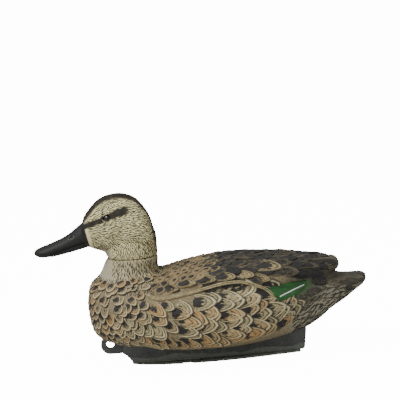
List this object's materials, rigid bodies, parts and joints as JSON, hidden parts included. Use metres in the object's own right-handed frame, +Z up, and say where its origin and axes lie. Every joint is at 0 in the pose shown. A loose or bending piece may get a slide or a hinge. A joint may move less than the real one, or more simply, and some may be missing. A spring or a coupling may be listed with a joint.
{
  "type": "floating duck decoy",
  "caption": "Hollow moulded teal-hen decoy with a swivelling head, folded wings and a ballasted keel with a line loop under its belly.",
  "frame": {"origin": "centre of the bounding box's footprint, on the plane of the keel's underside", "axes": "-X towards the bill, +X towards the tail, +Z up, -Y the duck's left side"},
  "size_m": [0.328, 0.142, 0.1728],
  "materials": {
    "feather_paint_body": "matt painted feathers on moulded polyethylene",
    "feather_paint_head": "matt painted feathers and a charcoal bill on moulded polyethylene",
    "glossy_eye": "polished near-black bead",
    "keel_plastic": "charcoal grey moulded plastic, lightly grained",
    "zinc_steel": "zinc-plated screw steel",
    "cast_ballast": "rough as cast",
    "post_nylon": "natural moulded nylon",
    "black_rubber": "moulded rubber"
  },
  "bodies": {
    "body": {"body_shell": "feather_paint_body", "friction_washer": "black_rubber", "keel_housing": "keel_plastic", "line_loop": "keel_plastic", "keel_base_plate": "keel_plastic", "ballast_bar": "cast_ballast", "keel_screw_1": "zinc_steel", "keel_screw_2": "zinc_steel", "keel_screw_3": "zinc_steel", "plate_screw_1": "zinc_steel", "plate_screw_2": "zinc_steel", "plate_screw_3": "zinc_steel", "drain_plug": "black_rubber"},
    "head": {"head_shell": "feather_paint_head", "eye_right": "glossy_eye", "eye_left": "glossy_eye", "swivel_post": "post_nylon", "swivel_screw": "zinc_steel"}
  },
  "joints": [
    {"name": "head_turn", "type": "hinge", "parent": "body", "child": "head", "pos_m": [-0.067, 0, 0.109], "axis": [0, 0, 1], "range_deg": [-90, 90]}
  ]
}
